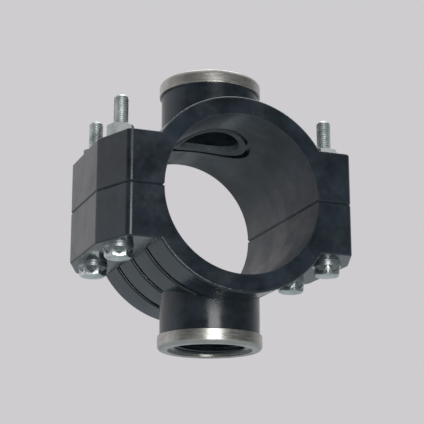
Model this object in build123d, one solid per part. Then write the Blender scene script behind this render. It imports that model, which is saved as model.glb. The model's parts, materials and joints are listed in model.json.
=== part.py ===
"""Double-outlet tapping saddle for a 110 mm plastic pressure pipe.

Two moulded polypropylene half shells close round the pipe.  Each carries a boss with a female
1 1/2 inch parallel thread, capped by a folded stainless reinforcing ring, and a flat gasket round
its outlet in the bore.  Four M10 bolts pass up through the lugs and take a nut each.

Frame: millimetres, origin at the centre of the pipe bore, +Y along the pipe, +Z up through
the upper outlet, lugs on both sides along X.
"""
from build123d import *
from math import radians, tan
import os

# --- pipe and shell -------------------------------------------------------------------------
pipe_diameter = 110.0  # outside diameter of the pipe that the saddle grips
shell_wall = 12.5  # thickness of the shell round the pipe
saddle_length = 122.8  # length of the saddle along the pipe
groove_count = 3  # lightening grooves that part the outside of the shell into bands
groove_width = 4.6
groove_depth = 5.0
groove_corner = 1.6  # rounding of the grooves' lips
flange_corner = 1.5  # rounding of the shell's outer end edges
split_chamfer = 1.0  # bevel along the mating faces of the two halves

# --- clamping lugs --------------------------------------------------------------------------
lug_half_height = 36.0  # from the mating face to the seat of the bolt head or nut
lug_reach = 92.0  # from the centre line to the lug's end face
lug_shoulder = 79.5  # from the centre line to the lug's front and rear corners
lug_end_width = 62.0  # width of the end face along the pipe
lug_corner = 4.5  # rounding of the upright edges
lug_edge = 1.2  # rounding of the outer edges at the bolt seats

# --- outlets --------------------------------------------------------------------------------
outlet_height = 96.4  # from the pipe's axis to the mouth of each outlet
boss_radius = 34.6
thread_radius = 23.9  # major radius of the 1 1/2 inch parallel thread
thread_depth = 24.0
thread_lead_in = 1.0  # bevel at the mouth of the thread
outlet_hole_radius = 20.7  # hole from the thread's end through to the pipe

# --- reinforcing ring -----------------------------------------------------------------------
ring_thickness = 1.6
ring_height = 9.9
ring_corner = 3.0  # rounding of the folded outer edge
ring_hem = 0.5  # rounding of the ring's hem
ring_lip_width = 7.0  # how far the ring is turned in over the boss's end

# --- gasket ---------------------------------------------------------------------------------
gasket_width = 4.9
gasket_thickness = 4.0
gasket_side_gap = 3.3  # free space between the gasket and the wall of its recess

# --- bolts, nuts and washers ----------------------------------------------------------------
bolt_radius = 5.0  # M10
bolt_length = 106.8  # under the head
bolt_hole_clearance = 0.5
bolt_tip_chamfer = 1.0
bolt_edge_distance = 16.3  # from the lug's end face to the bolts
bolt_spacing = 60.0  # from bolt to bolt along the pipe
hex_across_flats = 17.0
hex_chamfer_angle = 30.0  # slope of the turned corners of the hexagons, in degrees
head_height = 6.4
nut_height = 9.3
nut_clearance = 0.05
washer_radius = 10.0
washer_thickness = 2.0
washer_hole_clearance = 0.25
head_turns = (-13.0, -20.0, 9.0, 24.0)  # how far each bolt's head is turned, in degrees
nut_turns = (0.0, 14.0, -9.0, 26.0)  # the same for each nut

# --- worked out -----------------------------------------------------------------------------
bore_radius = pipe_diameter / 2
shell_radius = bore_radius + shell_wall
half_length = saddle_length / 2
boss_end = outlet_height - ring_thickness
ring_radius = boss_radius + ring_thickness
ring_lip_radius = ring_radius - ring_lip_width
gasket_radius = outlet_hole_radius + gasket_width
recess_radius = gasket_radius + gasket_side_gap
recess_floor_radius = bore_radius + gasket_thickness
hex_corner_radius = hex_across_flats / 3**0.5
hex_face_radius = 0.95 * hex_across_flats / 2
hex_chamfer_rise = (hex_corner_radius - hex_face_radius) * tan(radians(hex_chamfer_angle))
bolt_hole_radius = bolt_radius + bolt_hole_clearance
washer_hole_radius = bolt_radius + washer_hole_clearance
nut_bore_radius = bolt_radius + nut_clearance
head_seat = -lug_half_height - washer_thickness
nut_seat = lug_half_height + washer_thickness
bolt_reach = lug_reach - bolt_edge_distance
bolt_places = [(sx * bolt_reach, sy * bolt_spacing / 2) for sx in (-1, 1) for sy in (-1, 1)]
UPPER, LOWER = 1, -1


def upright(radius, low, high):
    """A cylinder along Z from one height to another."""
    cylinder = Cylinder(radius, high - low, align=(Align.CENTER, Align.CENTER, Align.MIN))
    return Pos(0, 0, low) * cylinder


def along_pipe(radius, length):
    """A cylinder round the pipe's axis, centred on the saddle."""
    return Rot(90, 0, 0) * Cylinder(radius, length)


def outline_face(corners):
    """A flat face on the XY plane inside an outline with these corners."""
    return make_face(Polyline(*corners, close=True))


def banded_shell():
    """The shell's outside: a turned barrel parted into bands by grooves, with round lips."""
    barrel = Pos(shell_radius / 2, 0) * Rectangle(shell_radius, saddle_length)
    barrel = fillet(barrel.vertices().group_by(Axis.X)[-1], flange_corner)
    pitch = saddle_length / (groove_count + 1)
    for index in range(groove_count):
        centre = (index - (groove_count - 1) / 2) * pitch
        slot = Pos(shell_radius - groove_depth / 2, centre) * Rectangle(groove_depth, groove_width)
        barrel -= slot
    lips = [
        v
        for v in barrel.vertices().group_by(Axis.X)[-1]
        if abs(v.Y) < half_length - 2 * flange_corner
    ]
    barrel = fillet(lips, groove_corner)
    return revolve(barrel, Axis.Y)


def lug_outline(side):
    """The plan of one pair of lugs: a block with its outer corners cut off obliquely."""
    corners = [
        (0, -half_length),
        (side * lug_shoulder, -half_length),
        (side * lug_reach, -lug_end_width / 2),
        (side * lug_reach, lug_end_width / 2),
        (side * lug_shoulder, half_length),
        (0, half_length),
    ]
    outline = outline_face(corners)
    outer = [v for v in outline.vertices() if abs(v.X) > lug_shoulder / 2]
    return fillet(outer, lug_corner)


def lug_block(side):
    """One pair of lugs, both halves in one height, with rounded edges at the bolt seats."""
    block = extrude(lug_outline(side), lug_half_height, both=True)
    seats = block.faces().group_by(Axis.Z)
    edges = seats[0].edges() + seats[-1].edges()
    outer = [e for e in edges if abs(e.center().X) > lug_shoulder / 4]
    return fillet(outer, lug_edge)


def saddle_blank():
    """Both halves in one solid: barrel, lugs and bosses, with the bore and every hole cut."""
    blank = banded_shell() + lug_block(-1) + lug_block(1) + upright(boss_radius, -boss_end, boss_end)
    blank -= along_pipe(bore_radius, saddle_length)
    for x, y in bolt_places:
        blank -= Pos(x, y) * upright(bolt_hole_radius, -lug_half_height, lug_half_height)
    return blank


def facing(half):
    """The turn that carries what is made for the upper half to its own half."""
    return Rot(0 if half == UPPER else 180, 0, 0)


def outlet_bore():
    """What is cut for one outlet: the thread's bore with its lead-in, and the hole to the pipe."""
    thread_start = boss_end - thread_depth
    corners = [
        (0, 0),
        (outlet_hole_radius, 0),
        (outlet_hole_radius, thread_start),
        (thread_radius, thread_start),
        (thread_radius, boss_end - thread_lead_in),
        (thread_radius + thread_lead_in, boss_end),
        (0, boss_end),
    ]
    return revolve(Rot(90, 0, 0) * outline_face(corners), Axis.Z)


def half_shell(blank, half):
    """One half of the saddle, bevelled along its mating faces, with its outlet cut."""
    reach = 2 * lug_reach
    keep = Pos(0, 0, half * outlet_height / 2) * Box(reach, 2 * saddle_length, outlet_height)
    shell = blank & keep
    mating = [face for face in shell.faces() if abs(face.center().Z) < 1e-6]
    rims = [edge for face in mating for edge in face.outer_wire().edges()]
    shell = chamfer(rims, split_chamfer)
    recess = upright(recess_radius, 0, boss_end) & along_pipe(recess_floor_radius, saddle_length)
    return shell - facing(half) * (outlet_bore() + recess)


def ring(half):
    """A stainless ring drawn over the boss's end, its lip turned in round the mouth."""
    low = outlet_height - ring_height
    corners = [
        (boss_radius, low),
        (ring_radius, low),
        (ring_radius, outlet_height),
        (ring_lip_radius, outlet_height),
        (ring_lip_radius, boss_end),
        (boss_radius, boss_end),
    ]
    section = outline_face(corners)
    fold = section.vertices().filter_by(lambda v: v.X > boss_radius + 0.1 and v.Y > boss_end)
    section = fillet(fold, ring_corner)
    edges = section.vertices().filter_by(
        lambda v: (v.X > boss_radius + 0.1 and v.Y < low + 0.1)
        or (v.X < ring_lip_radius + 0.1 and v.Y > boss_end + 0.1)
    )
    section = fillet(edges, ring_hem)
    return facing(half) * revolve(Rot(90, 0, 0) * section, Axis.Z)


def gasket(half):
    """A rubber ring round the outlet, curved to the pipe and flush with the bore."""
    tube = upright(gasket_radius, 0, boss_end) - upright(outlet_hole_radius, 0, boss_end)
    sleeve = along_pipe(recess_floor_radius, saddle_length) - along_pipe(bore_radius, saddle_length)
    return facing(half) * (tube & sleeve)


def hexagon(height):
    """A hexagonal prism on the XY plane, its top corners turned off by a shallow cone."""
    prism = extrude(RegularPolygon(hex_corner_radius, 6), height)
    corners = [
        (0, 0),
        (hex_corner_radius, 0),
        (hex_corner_radius, height - hex_chamfer_rise),
        (hex_face_radius, height),
        (0, height),
    ]
    return prism & revolve(Rot(90, 0, 0) * outline_face(corners), Axis.Z)


def bolt(place, turn):
    """A hexagon bolt, standing head down with its shank up through both lugs."""
    tip = head_seat + bolt_length
    shank = upright(bolt_radius, head_seat, tip)
    shank = chamfer(shank.edges().group_by(Axis.Z)[-1], bolt_tip_chamfer)
    head = Pos(0, 0, head_seat) * Rot(0, 0, turn) * Rot(180, 0, 0) * hexagon(head_height)
    return Pos(*place) * (shank + head)


def nut(place, turn):
    """A hexagon nut, its bore a running fit on the bolt."""
    body = hexagon(nut_height) - upright(nut_bore_radius, 0, nut_height)
    return Pos(*place) * Pos(0, 0, nut_seat) * Rot(0, 0, turn) * body


def washer(place, low):
    """A flat washer lying on or under a lug."""
    body = upright(washer_radius, low, low + washer_thickness)
    return Pos(*place) * (body - upright(washer_hole_radius, low, low + washer_thickness))


def build():
    """Every piece of the saddle by its name."""
    blank = saddle_blank()
    pieces = {}
    for name, half in (("upper", UPPER), ("lower", LOWER)):
        pieces[f"{name}_shell"] = half_shell(blank, half)
        pieces[f"{name}_ring"] = ring(half)
        pieces[f"{name}_gasket"] = gasket(half)
    fasteners = zip(bolt_places, head_turns, nut_turns)
    for number, (place, head_turn, nut_turn) in enumerate(fasteners, start=1):
        pieces[f"bolt_{number}"] = bolt(place, head_turn)
        pieces[f"head_washer_{number}"] = washer(place, head_seat)
        pieces[f"nut_washer_{number}"] = washer(place, lug_half_height)
        pieces[f"nut_{number}"] = nut(place, nut_turn)
    return pieces


if __name__ == "__main__":
    os.makedirs("parts", exist_ok=True)
    for name, piece in build().items():
        export_step(piece, f"parts/{name}.step")
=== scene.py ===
"""Looks of a double-outlet tapping saddle: moulded plastic, drawn steel, zinc plate and threads.

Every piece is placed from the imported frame, in metres, with +Y along the pipe and +Z up.
"""

import json
import logging
import math
from collections.abc import Sequence
from dataclasses import dataclass, field
from enum import Enum

import bmesh
import bpy
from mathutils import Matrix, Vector


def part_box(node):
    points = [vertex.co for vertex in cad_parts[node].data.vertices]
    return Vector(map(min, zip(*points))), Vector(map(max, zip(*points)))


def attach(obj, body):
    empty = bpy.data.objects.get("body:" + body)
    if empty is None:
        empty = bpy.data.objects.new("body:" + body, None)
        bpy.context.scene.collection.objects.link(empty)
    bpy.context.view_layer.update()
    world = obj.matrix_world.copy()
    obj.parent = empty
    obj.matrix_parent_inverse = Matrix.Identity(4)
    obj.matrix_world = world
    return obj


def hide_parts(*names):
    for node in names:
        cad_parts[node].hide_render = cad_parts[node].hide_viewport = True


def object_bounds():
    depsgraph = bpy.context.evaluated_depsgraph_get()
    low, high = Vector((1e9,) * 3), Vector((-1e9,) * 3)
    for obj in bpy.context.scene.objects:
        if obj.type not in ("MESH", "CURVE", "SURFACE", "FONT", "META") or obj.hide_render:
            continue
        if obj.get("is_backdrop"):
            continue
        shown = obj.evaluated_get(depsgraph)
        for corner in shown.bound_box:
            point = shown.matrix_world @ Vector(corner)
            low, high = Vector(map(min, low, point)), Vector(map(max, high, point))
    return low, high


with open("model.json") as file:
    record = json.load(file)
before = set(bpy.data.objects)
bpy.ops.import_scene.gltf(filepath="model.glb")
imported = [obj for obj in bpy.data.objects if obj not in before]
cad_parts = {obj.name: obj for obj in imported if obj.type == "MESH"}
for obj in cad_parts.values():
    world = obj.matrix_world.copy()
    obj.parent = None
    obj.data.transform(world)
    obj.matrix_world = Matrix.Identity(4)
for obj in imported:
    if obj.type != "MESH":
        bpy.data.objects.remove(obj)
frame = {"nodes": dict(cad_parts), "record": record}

log = logging.getLogger("tapping_saddle")

Colour = tuple[float, float, float, float]
Place = tuple[float, float]
Range = tuple[float, float]
Socket = bpy.types.NodeSocket
Feed = float | Colour | Socket

BOLT_COUNT = 4
SHARP_ANGLE = math.radians(28)
MM = 0.001


class Half(Enum):
    """The two halves of the saddle, by the sign of the side that they are on."""

    UPPER = 1
    LOWER = -1

    @property
    def word(self) -> str:
        """The half's name as the nodes spell it."""
        return self.name.lower()

    @property
    def body(self) -> str:
        """The moving body that carries the half."""
        return f"{self.word}_half"


class Slot(Enum):
    """The record's material slots."""

    PLASTIC = "black_polypropylene"
    STEEL = "stainless_ring"
    ZINC = "zinc_plated_steel"
    RUBBER = "rubber_gasket"


# --- shader tools ---------------------------------------------------------------------------


class Graph:
    """A hand for adding and joining the nodes of one tree."""

    def __init__(self, tree: bpy.types.NodeTree) -> None:
        """Keeps the node tree of the material, world or group that is built."""
        self.tree = tree

    def add(
        self, kind: str, inputs: dict[str | int, Feed] | None = None, **settings: object
    ) -> bpy.types.Node:
        """Adds one node.

        Args:
            kind: The node's type, as Blender names it.
            inputs: Values or sockets for its inputs, by their name or number.
            **settings: Properties set on the node before its inputs.

        Returns:
            The new node.
        """
        node = self.tree.nodes.new(kind)
        for name, value in settings.items():
            setattr(node, name, value)
        for key, value in (inputs or {}).items():
            if isinstance(value, bpy.types.NodeSocket):
                self.tree.links.new(value, node.inputs[key])
            else:
                node.inputs[key].default_value = value
        return node

    def math(self, operation: str, *values: Feed, clamp: bool = False) -> Socket:
        """Adds a Math node over numbers or sockets and returns its result."""
        node = self.add("ShaderNodeMath", dict(enumerate(values)), operation=operation, use_clamp=clamp)
        return node.outputs[0]

    def mix(self, share: Feed, first: Feed, second: Feed) -> Socket:
        """Mixes two colours.

        Args:
            share: How much of the second colour there is, from 0 to 1.
            first: The colour at 0.
            second: The colour at 1.

        Returns:
            The mixed colour's socket.
        """
        node = self.add("ShaderNodeMix", {0: share, 6: first, 7: second}, data_type="RGBA")
        return node.outputs[2]

    def span(self, value: Socket, low: float, high: float, start: float, end: float) -> Socket:
        """Maps a value from one range to another, held at the ends.

        Args:
            value: The socket to map.
            low: The value that becomes start.
            high: The value that becomes end.
            start: The result at low.
            end: The result at high.

        Returns:
            The mapped value's socket.
        """
        node = self.add("ShaderNodeMapRange", {0: value, 1: low, 2: high, 3: start, 4: end})
        return node.outputs[0]

    def noise(self, place: Socket, scale: Feed, detail: float) -> Socket:
        """Adds a noise over places and returns its value."""
        node = self.add("ShaderNodeTexNoise", {"Vector": place, "Scale": scale, "Detail": detail})
        return node.outputs[0]

    def place(self) -> Socket:
        """The place on the piece, in its own coordinates."""
        return self.add("ShaderNodeTexCoord").outputs["Object"]

    def distance(self, first: Socket, second: Socket) -> Socket:
        """The length of the two sides of a right angle taken together."""
        squares = (self.math("POWER", side, 2.0) for side in (first, second))
        return self.math("SQRT", self.math("ADD", *squares))

    def split(self, vector: Socket) -> bpy.types.NodeOutputs:
        """Splits a vector into its X, Y and Z."""
        return self.add("ShaderNodeSeparateXYZ", {0: vector}).outputs


class Effect:
    """A surface effect kept as a node group, built once and placed in several materials."""

    name: str = ""
    takes: tuple[tuple[str, str, float | Colour], ...] = ()
    gives: tuple[tuple[str, str], ...] = ()

    def wire(self, graph: Graph, given: dict[str, Socket]) -> dict[str, Socket]:
        """Builds the group's inside.

        Args:
            graph: The group's own graph.
            given: The group's input sockets by name.

        Returns:
            A socket for each of the group's outputs, by name.
        """
        raise NotImplementedError

    def tree(self) -> bpy.types.NodeTree:
        """Makes the effect's node group the first time that it is asked for.

        Returns:
            The one group that every material shares.
        """
        made = bpy.data.node_groups.get(self.name)
        if made:
            return made
        made = bpy.data.node_groups.new(self.name, "ShaderNodeTree")
        for name, kind, value in self.takes:
            socket = made.interface.new_socket(name, in_out="INPUT", socket_type=kind)
            socket.default_value = value
        for name, kind in self.gives:
            made.interface.new_socket(name, in_out="OUTPUT", socket_type=kind)
        graph = Graph(made)
        entry = graph.add("NodeGroupInput")
        results = self.wire(graph, {name: entry.outputs[name] for name, _, _ in self.takes})
        graph.add("NodeGroupOutput", results)
        return made

    def lay(self, graph: Graph, **values: Feed) -> bpy.types.NodeOutputs:
        """Places the effect in a material.

        Args:
            graph: The material's graph.
            **values: Its inputs, by their names in lower case.

        Returns:
            The outputs of the placed group.
        """
        inputs = {key.title(): value for key, value in values.items()}
        return graph.add("ShaderNodeGroup", inputs, node_tree=self.tree()).outputs


class Mottle(Effect):
    """Soft clouds of colour, as flow and handling leave on a surface."""

    name = "soft mottle"
    takes = (
        ("Scale", "NodeSocketFloat", 40.0),
        ("Dark", "NodeSocketColor", (0.0, 0.0, 0.0, 1.0)),
        ("Light", "NodeSocketColor", (1.0, 1.0, 1.0, 1.0)),
    )
    gives = (("Colour", "NodeSocketColor"), ("Mask", "NodeSocketFloat"))
    times_finer = 4.7
    finer_share = 0.4
    contrast: Range = (0.55, 0.90)

    def wire(self, graph: Graph, given: dict[str, Socket]) -> dict[str, Socket]:
        """Lays two layers of noise, one broad and one a few times finer.

        Args:
            graph: The group's own graph.
            given: The scale of the clouds and their two colours.

        Returns:
            The clouded colour and the mask of the light clouds.
        """
        place = graph.place()
        broad = graph.noise(place, given["Scale"], 3.0)
        small = graph.noise(place, graph.math("MULTIPLY", given["Scale"], self.times_finer), 4.0)
        both = graph.math("MULTIPLY_ADD", small, self.finer_share, broad)
        mask = graph.span(both, *self.contrast, 0.0, 1.0)
        return {"Colour": graph.mix(mask, given["Dark"], given["Light"]), "Mask": mask}


class EdgeWear(Effect):
    """A broken mask along the outer and inner edges, where handling rubs or burnishes."""

    name = "edge wear"
    takes = (
        ("Width", "NodeSocketFloat", 0.001),
        ("Amount", "NodeSocketFloat", 1.0),
        ("Breakup", "NodeSocketFloat", 300.0),
    )
    gives = (("Mask", "NodeSocketFloat"),)
    likeness: Range = (0.98, 0.80)
    patch_contrast: Range = (0.35, 0.65)
    least_patch = 0.25

    def wire(self, graph: Graph, given: dict[str, Socket]) -> dict[str, Socket]:
        """Takes the turn between the true and the rounded normal, broken up by noise.

        Args:
            graph: The group's own graph.
            given: The width of the worn band, its strength and the scale of its breaks.

        Returns:
            The mask of the wear.
        """
        rounded = graph.add("ShaderNodeBevel", {"Radius": given["Width"]}, samples=4).outputs[0]
        true = graph.add("ShaderNodeNewGeometry").outputs["Normal"]
        likeness = graph.add("ShaderNodeVectorMath", {0: rounded, 1: true}, operation="DOT_PRODUCT")
        turn = graph.span(likeness.outputs["Value"], *self.likeness, 0.0, 1.0)
        noise = graph.noise(graph.place(), given["Breakup"], 3.0)
        patches = graph.span(noise, *self.patch_contrast, self.least_patch, 1.0)
        worn = graph.math("MULTIPLY", turn, patches)
        return {"Mask": graph.math("MULTIPLY", worn, given["Amount"], clamp=True)}


class Grain(Effect):
    """A fine skin of low bumps, with a slow waviness under it."""

    name = "fine grain"
    takes = (("Scale", "NodeSocketFloat", 900.0), ("Waviness", "NodeSocketFloat", 0.5))
    gives = (("Height", "NodeSocketFloat"),)
    broad_share = 0.08

    def wire(self, graph: Graph, given: dict[str, Socket]) -> dict[str, Socket]:
        """Lays fine noise for the skin over broad noise for the waviness.

        Args:
            graph: The group's own graph.
            given: The scale of the skin and how strong the waviness is beside it.

        Returns:
            The height of the surface.
        """
        place = graph.place()
        fine = graph.noise(place, given["Scale"], 2.0)
        slow = graph.noise(place, graph.math("MULTIPLY", given["Scale"], self.broad_share), 1.0)
        wave = graph.math("MULTIPLY", slow, given["Waviness"])
        return {"Height": graph.math("ADD", fine, wave)}


class Turning(Effect):
    """Fine marks that run round the upright axis, as drawing or turning leaves on metal."""

    name = "turning marks"
    takes = (("Scale", "NodeSocketFloat", 2500.0),)
    gives = (("Height", "NodeSocketFloat"), ("Mask", "NodeSocketFloat"))
    drawn_out = 0.002
    contrast: Range = (0.30, 0.70)

    def wire(self, graph: Graph, given: dict[str, Socket]) -> dict[str, Socket]:
        """Lays noise over the distance from the axis and the height, drawn out along the turn.

        Args:
            graph: The group's own graph.
            given: The scale of the marks.

        Returns:
            The height of the marks and their mask.
        """
        x, y, z = graph.split(graph.place())
        turn = graph.math("MULTIPLY", graph.math("ARCTAN2", y, x), self.drawn_out)
        path = graph.add("ShaderNodeCombineXYZ", {0: graph.distance(x, y), 1: turn, 2: z}).outputs[0]
        marks = graph.noise(path, given["Scale"], 3.0)
        return {"Height": marks, "Mask": graph.span(marks, *self.contrast, 0.0, 1.0)}


# --- finishes -------------------------------------------------------------------------------


@dataclass(frozen=True)
class Rub:
    """Edges that handling has rubbed pale or burnished."""

    colour: Colour
    width: float
    amount: float
    breakup: float

    def over(self, graph: Graph, colour: Socket) -> Socket:
        """Lays the rubbed edges over a colour.

        Args:
            graph: The material's graph.
            colour: The colour of the surface away from its edges.

        Returns:
            The colour with its edges rubbed.
        """
        edges = EdgeWear().lay(graph, width=self.width, amount=self.amount, breakup=self.breakup)
        return graph.mix(edges["Mask"], colour, self.colour)


@dataclass(frozen=True)
class Relief:
    """How far a surface's fine marks stand up."""

    strength: float
    depth: float

    def bump(self, graph: Graph, height: Socket) -> Socket:
        """Turns a height into a bent normal.

        Args:
            graph: The material's graph.
            height: The height of the marks, from 0 to 1.

        Returns:
            The normal's socket.
        """
        inputs = {"Height": height, "Strength": self.strength, "Distance": self.depth}
        return graph.add("ShaderNodeBump", inputs).outputs[0]


@dataclass(frozen=True)
class Finish:
    """What every finish has: a name and the slot that it belongs to."""

    name: str
    slot: Slot

    def shade(self, graph: Graph) -> dict[str, Feed]:
        """Builds the surface.

        Args:
            graph: The material's graph.

        Returns:
            The inputs of the Principled shader, by name.
        """
        raise NotImplementedError

    def material(self) -> bpy.types.Material:
        """Makes the finish's material the first time that it is asked for.

        Returns:
            The one material that every piece in this finish shares.
        """
        made = bpy.data.materials.get(self.name)
        if made:
            return made
        made = bpy.data.materials.new(self.name)
        made.use_nodes = True
        made.node_tree.nodes.clear()
        graph = Graph(made.node_tree)
        shader = graph.add("ShaderNodeBsdfPrincipled", self.shade(graph))
        graph.add("ShaderNodeOutputMaterial", {0: shader.outputs[0]})
        return made

    def dress(self, node: str) -> None:
        """Gives the finish to a CAD node and logs it.

        Args:
            node: The node's name in the frame.
        """
        piece = frame["nodes"][node]
        piece.data.materials.clear()
        piece.data.materials.append(self.material())
        log.info("%s: %s", node, self.name)


@dataclass(frozen=True)
class MouldedPlastic(Finish):
    """Black moulded polypropylene with a soft, slightly cloudy sheen."""

    dark: Colour = (0.005, 0.010, 0.013, 1.0)
    light: Colour = (0.019, 0.028, 0.036, 1.0)
    cloud_scale: float = 46.0
    # The haze colour clouds the whole shell at random; laid more strongly on the bore's wall, it is a
    # painted sheen there.
    haze: Colour = (0.040, 0.058, 0.084, 1.0)
    haze_scale: float = 33.0
    haze_share: float = 0.40
    # Painted sheen: the extra share of the lighter bluish haze on the bore's wall stands in for its soft
    # cloudy reflections.
    bore_haze: float = 0.55
    roughness: Range = (0.18, 0.32)
    bore_dullness: float = 0.20
    bore_reach: float = 0.0556
    bore_fade: float = 0.0004
    seat_polish: float = 0.14
    seat_slope: Range = (-0.990, -0.999)
    edges: Rub = Rub((0.085, 0.088, 0.084, 1.0), 0.0011, 0.22, 240.0)
    grain_scale: float = 1400.0
    waviness: float = 5.0
    relief: Relief = Relief(0.5, 0.00003)
    refraction: float = 1.5
    gloss: float = 0.62

    def bore_mask(self, graph: Graph) -> Socket:
        """Finds the wall of the bore, which is nearer to the pipe's axis than the rest; it is dulled there
        and gets a painted sheen.

        Args:
            graph: The material's graph.

        Returns:
            A mask that is 1 on the bore's wall.
        """
        x, _, z = graph.split(graph.place())
        return graph.span(graph.distance(x, z), self.bore_reach - self.bore_fade, self.bore_reach, 1.0, 0.0)

    def seat_mask(self, graph: Graph) -> Socket:
        """Finds the flat faces that look straight down, which come off polished mould steel.

        Args:
            graph: The material's graph.

        Returns:
            A mask that is 1 on those faces.
        """
        true = graph.add("ShaderNodeNewGeometry").outputs["True Normal"]
        return graph.span(graph.split(true)[2], *self.seat_slope, 0.0, 1.0)

    def shade(self, graph: Graph) -> dict[str, Feed]:
        """Builds the clouded colour, a painted sheen of lighter bluish clouds on the bore's wall, the
        rubbed edges and a fine moulded skin.

        Args:
            graph: The material's graph.

        Returns:
            The inputs of the Principled shader, by name.
        """
        clouds = Mottle().lay(graph, scale=self.cloud_scale, dark=self.dark, light=self.light)
        drift = Mottle().lay(graph, scale=self.haze_scale)
        skin = Grain().lay(graph, scale=self.grain_scale, waviness=self.waviness)
        bore = self.bore_mask(graph)
        # Painted sheen: the haze is laid more strongly on the bore's wall, lighter bluish clouds in place
        # of its soft reflections; elsewhere it is random clouding.
        haze_and_painted_sheen_share = graph.math("MULTIPLY_ADD", bore, self.bore_haze, self.haze_share)
        clouds_and_painted_sheen = graph.mix(graph.math("MULTIPLY", drift["Mask"], haze_and_painted_sheen_share), clouds["Colour"], self.haze)
        glossy = graph.span(clouds["Mask"], 0.0, 1.0, *self.roughness)
        dulled = graph.math("MULTIPLY_ADD", bore, self.bore_dullness, glossy)
        return {
            "Base Color": self.edges.over(graph, clouds_and_painted_sheen),
            "Roughness": graph.math("MULTIPLY_ADD", self.seat_mask(graph), -self.seat_polish, dulled),
            "Normal": self.relief.bump(graph, skin["Height"]),
            "IOR": self.refraction,
            "Specular IOR Level": self.gloss,
        }


@dataclass(frozen=True)
class DrawnSteel(Finish):
    """Satin stainless steel, drawn and turned in over the boss."""

    tone: Colour = (0.60, 0.59, 0.56, 1.0)
    stain: Colour = (0.40, 0.385, 0.35, 1.0)
    stain_scale: float = 60.0
    roughness: Range = (0.24, 0.44)
    edges: Rub = Rub((0.80, 0.79, 0.76, 1.0), 0.0008, 0.5, 500.0)
    mark_scale: float = 1900.0
    relief: Relief = Relief(0.3, 0.00001)

    def shade(self, graph: Graph) -> dict[str, Feed]:
        """Builds the marks round the ring, faint stains and burnished edges.

        Args:
            graph: The material's graph.

        Returns:
            The inputs of the Principled shader, by name.
        """
        marks = Turning().lay(graph, scale=self.mark_scale)
        stains = Mottle().lay(graph, scale=self.stain_scale, dark=self.tone, light=self.stain)
        return {
            "Base Color": self.edges.over(graph, stains["Colour"]),
            "Metallic": 1.0,
            "Roughness": graph.span(marks["Mask"], 0.0, 1.0, *self.roughness),
            "Normal": self.relief.bump(graph, marks["Height"]),
        }


@dataclass(frozen=True)
class ZincPlate(Finish):
    """Bright zinc plate with a cool cast and faint handling marks."""

    tone: Colour = (0.80, 0.84, 0.83, 1.0)
    dull: Colour = (0.52, 0.57, 0.56, 1.0)
    cloud_scale: float = 130.0
    roughness: Range = (0.32, 0.46)
    edges: Rub = Rub((0.90, 0.92, 0.92, 1.0), 0.0006, 0.6, 900.0)
    grain_scale: float = 2600.0
    waviness: float = 0.6
    relief: Relief = Relief(0.3, 0.00001)

    def shade(self, graph: Graph) -> dict[str, Feed]:
        """Builds the clouded plate, brighter on the edges, over a slightly uneven surface.

        Args:
            graph: The material's graph.

        Returns:
            The inputs of the Principled shader, by name.
        """
        clouds = Mottle().lay(graph, scale=self.cloud_scale, dark=self.tone, light=self.dull)
        skin = Grain().lay(graph, scale=self.grain_scale, waviness=self.waviness)
        return {
            "Base Color": self.edges.over(graph, clouds["Colour"]),
            "Metallic": 1.0,
            "Roughness": graph.span(clouds["Mask"], 0.0, 1.0, *self.roughness),
            "Normal": self.relief.bump(graph, skin["Height"]),
        }


@dataclass(frozen=True)
class Rubber(Finish):
    """Matt black rubber with a grey bloom."""

    dark: Colour = (0.075, 0.095, 0.100, 1.0)
    bloom: Colour = (0.130, 0.155, 0.165, 1.0)
    bloom_scale: float = 90.0
    roughness: float = 0.62
    edges: Rub = Rub((0.17, 0.18, 0.19, 1.0), 0.0007, 0.5, 500.0)
    grain_scale: float = 2200.0
    waviness: float = 1.0
    relief: Relief = Relief(0.6, 0.00005)

    def shade(self, graph: Graph) -> dict[str, Feed]:
        """Builds the bloomed colour over a matt, slightly rough skin.

        Args:
            graph: The material's graph.

        Returns:
            The inputs of the Principled shader, by name.
        """
        clouds = Mottle().lay(graph, scale=self.bloom_scale, dark=self.dark, light=self.bloom)
        skin = Grain().lay(graph, scale=self.grain_scale, waviness=self.waviness)
        return {
            "Base Color": self.edges.over(graph, clouds["Colour"]),
            "Roughness": self.roughness,
            "Normal": self.relief.bump(graph, skin["Height"]),
        }


BLACK_PLASTIC = MouldedPlastic("black moulded plastic", Slot.PLASTIC)
DRAWN_STEEL = DrawnSteel("satin drawn steel", Slot.STEEL)
ZINC_PLATE = ZincPlate("bright zinc plate", Slot.ZINC)
# Painted light: a lighter copy of the zinc plate, whose brighter tone paints extra light on the bolts'
# threads.
ZINC_THREAD_PAINTED_LIGHT = ZincPlate(
    "zinc plate on threads", Slot.ZINC, tone=(0.85, 0.88, 0.87, 1.0), roughness=(0.38, 0.52)
)
BLACK_RUBBER = Rubber("bloomed black rubber", Slot.RUBBER)


# --- meshes ---------------------------------------------------------------------------------


def add_piece(name: str, skin: bmesh.types.BMesh, finish: Finish, body: str) -> bpy.types.Object:
    """Makes a finished mesh into a piece of the saddle.

    Args:
        name: The new piece's name.
        skin: Its surface, which is used up.
        finish: What it is dressed in.
        body: The body that it moves with.

    Returns:
        The new object.
    """
    mesh = bpy.data.meshes.new(name)
    bmesh.ops.recalc_face_normals(skin, faces=skin.faces)
    skin.to_mesh(mesh)
    skin.free()
    mesh.polygons.foreach_set("use_smooth", [True] * len(mesh.polygons))
    mesh.set_sharp_from_angle(angle=SHARP_ANGLE)
    mesh.materials.append(finish.material())
    piece = bpy.data.objects.new(name, mesh)
    bpy.context.scene.collection.objects.link(piece)
    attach(piece, body)
    log.info("%s: %s, %d faces, on %s", name, finish.name, len(mesh.polygons), body)
    return piece


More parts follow.
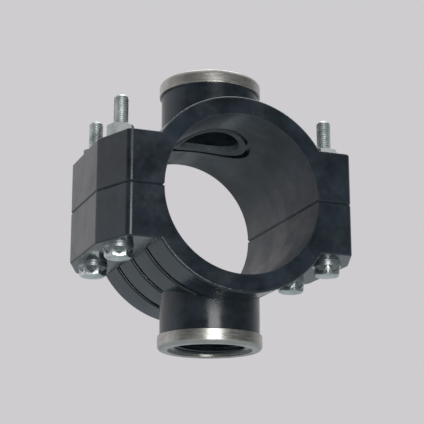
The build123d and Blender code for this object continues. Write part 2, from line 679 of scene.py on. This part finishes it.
def bridge(skin: bmesh.types.BMesh, rings: Sequence[Sequence[bmesh.types.BMVert]]) -> None:
    """Skins a row of equal rings of points and closes its two ends.

    Args:
        skin: The mesh that takes the faces.
        rings: The points of each ring, in the order of the rings.
    """
    for ring, following in zip(rings, rings[1:]):
        for step in range(len(ring)):
            after = (step + 1) % len(ring)
            skin.faces.new((ring[step], ring[after], following[after], following[step]))
    skin.faces.new(rings[0])
    skin.faces.new(rings[-1])


def turn_solid(skin: bmesh.types.BMesh, centre: Place, profile: Sequence[Place], steps: int = 48) -> None:
    """Adds a closed solid of revolution about an upright axis.

    Args:
        skin: The mesh that takes the solid.
        centre: The axis's place in X and Y.
        profile: Radius and height of each ring, from the lowest to the highest.
        steps: How many sides the solid has.
    """
    rings = []
    for radius, height in profile:
        angles = (2 * math.pi * step / steps for step in range(steps))
        rings.append([
            skin.verts.new((centre[0] + radius * math.cos(a), centre[1] + radius * math.sin(a), height))
            for a in angles
        ])
    bridge(skin, rings)


@dataclass(frozen=True)
class ScrewThread:
    """A screw thread as one closed ridge wound round an upright axis."""

    pitch: float
    root_radius: float
    crest_radius: float
    root_share: float = 0.86
    crest_share: float = 0.14
    run_out_turns: float = 1 / 3
    steps: int = 48

    def wind(self, skin: bmesh.types.BMesh, centre: Place, low: float, high: float) -> None:
        """Adds the ridge to a mesh, run out to nothing at both ends.

        Args:
            skin: The mesh that takes the ridge.
            centre: The axis's place in X and Y.
            low: The lowest height that the ridge reaches.
            high: The highest height that the ridge reaches.
        """
        root_half = self.root_share * self.pitch / 2
        crest_half = self.crest_share * self.pitch / 2
        count = int((high - low - 2 * root_half) / self.pitch * self.steps)
        run_out = self.steps * self.run_out_turns
        rings = []
        for index in range(count + 1):
            angle = 2 * math.pi * index / self.steps
            height = low + root_half + self.pitch * index / self.steps
            grown = min(1.0, index / run_out, (count - index) / run_out)
            crest = self.root_radius + (self.crest_radius - self.root_radius) * grown
            outline = (
                (self.root_radius, -root_half),
                (crest, -crest_half),
                (crest, crest_half),
                (self.root_radius, root_half),
            )
            x, y = math.cos(angle), math.sin(angle)
            rings.append([
                skin.verts.new((centre[0] + radius * x, centre[1] + radius * y, height + rise))
                for radius, rise in outline
            ])
        bridge(skin, rings)


# --- sub-assemblies -------------------------------------------------------------------------


@dataclass
class SaddleHalf:
    """One half: the moulded shell, its outlet's thread, the steel ring and the gasket."""

    half: Half
    thread_pitch: float = 0.002309
    thread_depth: float = 0.001479
    thread_steps: int = 96
    bite: float = 0.00004
    outlet: dict[str, object] = field(init=False)

    def __post_init__(self) -> None:
        """Finds the half's outlet among the record's mounts."""
        name = f"{self.half.word}_outlet"
        self.outlet = next(m for m in frame["record"]["mounts"] if m["name"] == name)

    def build_thread(self) -> bpy.types.Object:
        """Makes the ridge of the outlet's female thread on the wall of its bore.

        Returns:
            The thread's object.
        """
        wall = self.outlet["dims"]["r_mm"] * MM
        reach = self.outlet["dims"]["length_mm"] * MM / 2
        middle = self.outlet["pos_m"][2]
        root, crest = wall + self.bite, wall - self.thread_depth
        thread = ScrewThread(self.thread_pitch, root, crest, steps=self.thread_steps)
        skin = bmesh.new()
        thread.wind(skin, (0.0, 0.0), middle - reach, middle + reach)
        return add_piece(f"{self.half.word}_outlet_thread", skin, BLACK_PLASTIC, self.half.body)

    def dress(self) -> None:
        """Gives each CAD node of the half its finish."""
        BLACK_PLASTIC.dress(f"{self.half.word}_shell")
        DRAWN_STEEL.dress(f"{self.half.word}_ring")
        BLACK_RUBBER.dress(f"{self.half.word}_gasket")

    def build(self) -> None:
        """Builds and dresses the whole half."""
        self.build_thread()
        self.dress()


@dataclass
class Fastener:
    """One bolt with its nut and the washers under both."""

    number: int
    thread: ScrewThread = ScrewThread(0.0015, 0.00411, 0.00500, crest_share=0.16)
    thread_length: float = 0.032
    tip_chamfer: float = 0.0010
    core_radius: float = 0.00413
    head_draft: float = 0.075
    weld: float = 1e-7

    def blank(self, centre: Place, cut: float) -> bmesh.types.BMesh:
        """Copies the bolt's head and plain shank from the frame and gives the head its forging draft.

        Args:
            centre: The bolt's axis in X and Y.
            cut: The height at which the plain shank ends.

        Returns:
            The closed blank.
        """
        skin = bmesh.new()
        skin.from_mesh(frame["nodes"][f"bolt_{self.number}"].data)
        bmesh.ops.remove_doubles(skin, verts=skin.verts, dist=self.weld)
        whole = skin.verts[:] + skin.edges[:] + skin.faces[:]
        bmesh.ops.bisect_plane(skin, geom=whole, plane_co=(0, 0, cut), plane_no=(0, 0, 1), clear_outer=True)
        bmesh.ops.holes_fill(skin, edges=[edge for edge in skin.edges if edge.is_boundary])
        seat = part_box(f"head_washer_{self.number}")[0][2]
        half_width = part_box(f"bolt_{self.number}")[1][0] - centre[0]
        for vert in skin.verts:
            depth = seat - vert.co.z
            if depth > 0:
                narrower = 1 - self.head_draft * depth / half_width
                vert.co.x = centre[0] + (vert.co.x - centre[0]) * narrower
                vert.co.y = centre[1] + (vert.co.y - centre[1]) * narrower
        return skin

    def build_bolt(self) -> bpy.types.Object:
        """Makes the bolt with its cut thread, in place of the plain one.

        Returns:
            The object of the head and the shank.
        """
        low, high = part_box(f"bolt_{self.number}")
        centre = ((low[0] + high[0]) / 2, (low[1] + high[1]) / 2)
        tip = high[2]
        start = tip - self.thread_length
        foot = start - self.thread.pitch
        core = (
            (self.core_radius, foot),
            (self.core_radius, tip - self.tip_chamfer),
            (self.core_radius - self.tip_chamfer, tip),
        )
        screw = bmesh.new()
        turn_solid(screw, centre, core)
        self.thread.wind(screw, centre, foot, tip - self.tip_chamfer / 2)
        add_piece(f"bolt_thread_{self.number}", screw, ZINC_THREAD_PAINTED_LIGHT, Half.LOWER.body)
        blank = self.blank(centre, start)
        bolt = add_piece(f"bolt_head_and_shank_{self.number}", blank, ZINC_PLATE, Half.LOWER.body)
        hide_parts(f"bolt_{self.number}")
        return bolt

    def dress(self) -> None:
        """Gives the nut and the washers their finish."""
        for node in ("nut", "nut_washer", "head_washer"):
            ZINC_PLATE.dress(f"{node}_{self.number}")

    def build(self) -> None:
        """Builds and dresses the whole fastener."""
        self.build_bolt()
        self.dress()


# --- studio ---------------------------------------------------------------------------------


def direction(azimuth: float, elevation: float) -> Vector:
    """The unit vector from the middle of the saddle towards a place round it.

    Args:
        azimuth: Degrees round from the front, towards the right.
        elevation: Degrees above the horizon.

    Returns:
        The unit vector.
    """
    turn, lift = math.radians(azimuth), math.radians(elevation)
    return Vector((math.sin(turn) * math.cos(lift), -math.cos(turn) * math.cos(lift), math.sin(lift)))


@dataclass(frozen=True)
class Softbox:
    """A rectangular lamp on a sphere round the saddle, aimed at its middle."""

    name: str
    azimuth: float
    elevation: float
    distance: float
    width: float
    height: float
    power: float
    colour: tuple[float, float, float] = (1.0, 1.0, 1.0)

    def build(self) -> None:
        """Makes the lamp."""
        data = bpy.data.lights.new(self.name, "AREA")
        data.shape = "RECTANGLE"
        data.size = self.width
        data.size_y = self.height
        data.energy = self.power
        data.color = self.colour
        lamp = bpy.data.objects.new(self.name, data)
        bpy.context.scene.collection.objects.link(lamp)
        away = direction(self.azimuth, self.elevation)
        lamp.location = away * self.distance
        lamp.rotation_euler = away.to_track_quat("Z", "Y").to_euler()


@dataclass(frozen=True)
class Studio:
    """The pale floor, the sky and the lamps."""

    backdrop: Colour = (0.617, 0.604, 0.624, 1.0)
    behind: Colour = (0.42, 0.48, 0.51, 1.0)
    before: Colour = (0.11, 0.11, 0.11, 1.0)
    below: Colour = (0.37, 0.41, 0.43, 1.0)
    above: Colour = (0.64, 0.65, 0.66, 1.0)
    behind_span: Range = (-0.15, 0.60)
    below_span: Range = (-0.02, -0.20)
    above_span: Range = (0.42, 0.72)
    floor: Colour = (0.76, 0.75, 0.76, 1.0)
    floor_roughness: float = 0.8
    floor_reach: float = 8.0
    floor_lift: float = 0.24
    lamps: tuple[Softbox, ...] = (
        Softbox("key", -11.0, -2.0, 1.3, 0.58, 0.88, 7.2),
        Softbox("top", 150.0, 68.0, 1.4, 0.9, 0.9, 5.0, (0.94, 0.98, 1.0)),
    )

    def build_world(self) -> None:
        """Makes a sky that is bright behind the saddle and dim in front of it.

        The camera sees the plain backdrop all round. Metal and clear pieces see it on the wall
        behind the saddle, so that they show the same background.
        """
        world = bpy.data.worlds.new("studio")
        bpy.context.scene.world = world
        world.use_nodes = True
        world.node_tree.nodes.clear()
        graph = Graph(world.node_tree)
        _, depth, rise = graph.split(graph.add("ShaderNodeTexCoord").outputs["Generated"])
        back = graph.span(depth, *self.behind_span, 0.0, 1.0)
        under = graph.span(rise, *self.below_span, 0.0, 1.0)
        over = graph.span(rise, *self.above_span, 0.0, 1.0)
        walls = graph.mix(back, self.before, self.behind)
        sky = graph.mix(under, graph.mix(over, walls, self.above), self.below)
        path = graph.add("ShaderNodeLightPath").outputs
        mirrored = graph.math("MAXIMUM", path["Is Glossy Ray"], path["Is Transmission Ray"])
        wall = graph.math("MULTIPLY", back, graph.math("SUBTRACT", 1.0, under))
        seen = graph.math("MAXIMUM", path["Is Camera Ray"], graph.math("MULTIPLY", mirrored, wall))
        colour = graph.mix(seen, sky, self.backdrop)
        light = graph.add("ShaderNodeBackground", {"Color": colour, "Strength": 1.0})
        graph.add("ShaderNodeOutputWorld", {0: light.outputs[0]})

    def paint_floor(self) -> bpy.types.Material:
        """Makes the floor's pale paint, which takes the saddle's shadow.

        The floor is clear from beneath, where the camera stands, and to every ray but the
        camera's, so that it doesn't light the saddle; metal sees the low part of the sky there.

        Returns:
            The floor's material.
        """
        material = bpy.data.materials.new("pale floor")
        material.use_nodes = True
        material.node_tree.nodes.clear()
        graph = Graph(material.node_tree)
        beneath = graph.add("ShaderNodeNewGeometry").outputs["Backfacing"]
        seen = graph.add("ShaderNodeLightPath").outputs["Is Camera Ray"]
        unseen = graph.math("MAXIMUM", beneath, graph.math("SUBTRACT", 1.0, seen))
        paint = graph.add("ShaderNodeBsdfPrincipled", {
            "Base Color": self.floor,
            "Roughness": self.floor_roughness,
            "Emission Color": self.backdrop,
            "Emission Strength": self.floor_lift,
        })
        clear = graph.add("ShaderNodeBsdfTransparent")
        both = graph.add("ShaderNodeMixShader", {0: unseen, 1: paint.outputs[0], 2: clear.outputs[0]})
        graph.add("ShaderNodeOutputMaterial", {0: both.outputs[0]})
        return material

    def build_floor(self) -> None:
        """Makes the floor that the saddle stands on."""
        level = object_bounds()[0][2]
        corners = [
            (across * self.floor_reach, along * self.floor_reach, level)
            for across, along in ((-1, -1), (1, -1), (1, 1), (-1, 1))
        ]
        mesh = bpy.data.meshes.new("floor")
        mesh.from_pydata(corners, [], [(0, 1, 2, 3)])
        mesh.materials.append(self.paint_floor())
        floor = bpy.data.objects.new("floor", mesh)
        bpy.context.scene.collection.objects.link(floor)
        floor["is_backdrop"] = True

    def build(self) -> None:
        """Builds the sky, the floor and every lamp."""
        self.build_world()
        self.build_floor()
        for lamp in self.lamps:
            lamp.build()
        bpy.context.scene.view_settings.view_transform = "Standard"


@dataclass(frozen=True)
class Camera:
    """The camera, on a sphere round the middle of the bore, a little below it."""

    azimuth: float = -21.14
    elevation: float = -15.09
    distance: float = 0.91411
    lens: float = 110.19
    sensor: float = 36.0
    aim_right: float = 0.00161
    aim_up: float = 0.00228

    def build(self) -> None:
        """Makes the camera and gives it to the scene."""
        back = direction(self.azimuth, self.elevation)
        right = (-back).cross(Vector((0, 0, 1))).normalized()
        up = right.cross(-back)
        data = bpy.data.cameras.new("camera")
        data.lens = self.lens
        data.sensor_width = self.sensor
        camera = bpy.data.objects.new("camera", data)
        bpy.context.scene.collection.objects.link(camera)
        camera.location = back * self.distance
        target = right * self.aim_right + up * self.aim_up
        camera.rotation_euler = (target - camera.location).to_track_quat("-Z", "Y").to_euler()
        bpy.context.scene.camera = camera


def main() -> None:
    """Builds the saddle's looks, the studio and the camera."""
    logging.basicConfig(level=logging.INFO, format="%(name)s %(message)s")
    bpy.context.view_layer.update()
    Camera().build()
    Studio().build()
    for half in Half:
        SaddleHalf(half).build()
    for number in range(1, BOLT_COUNT + 1):
        Fastener(number).build()


if __name__ == "__main__":
    main()
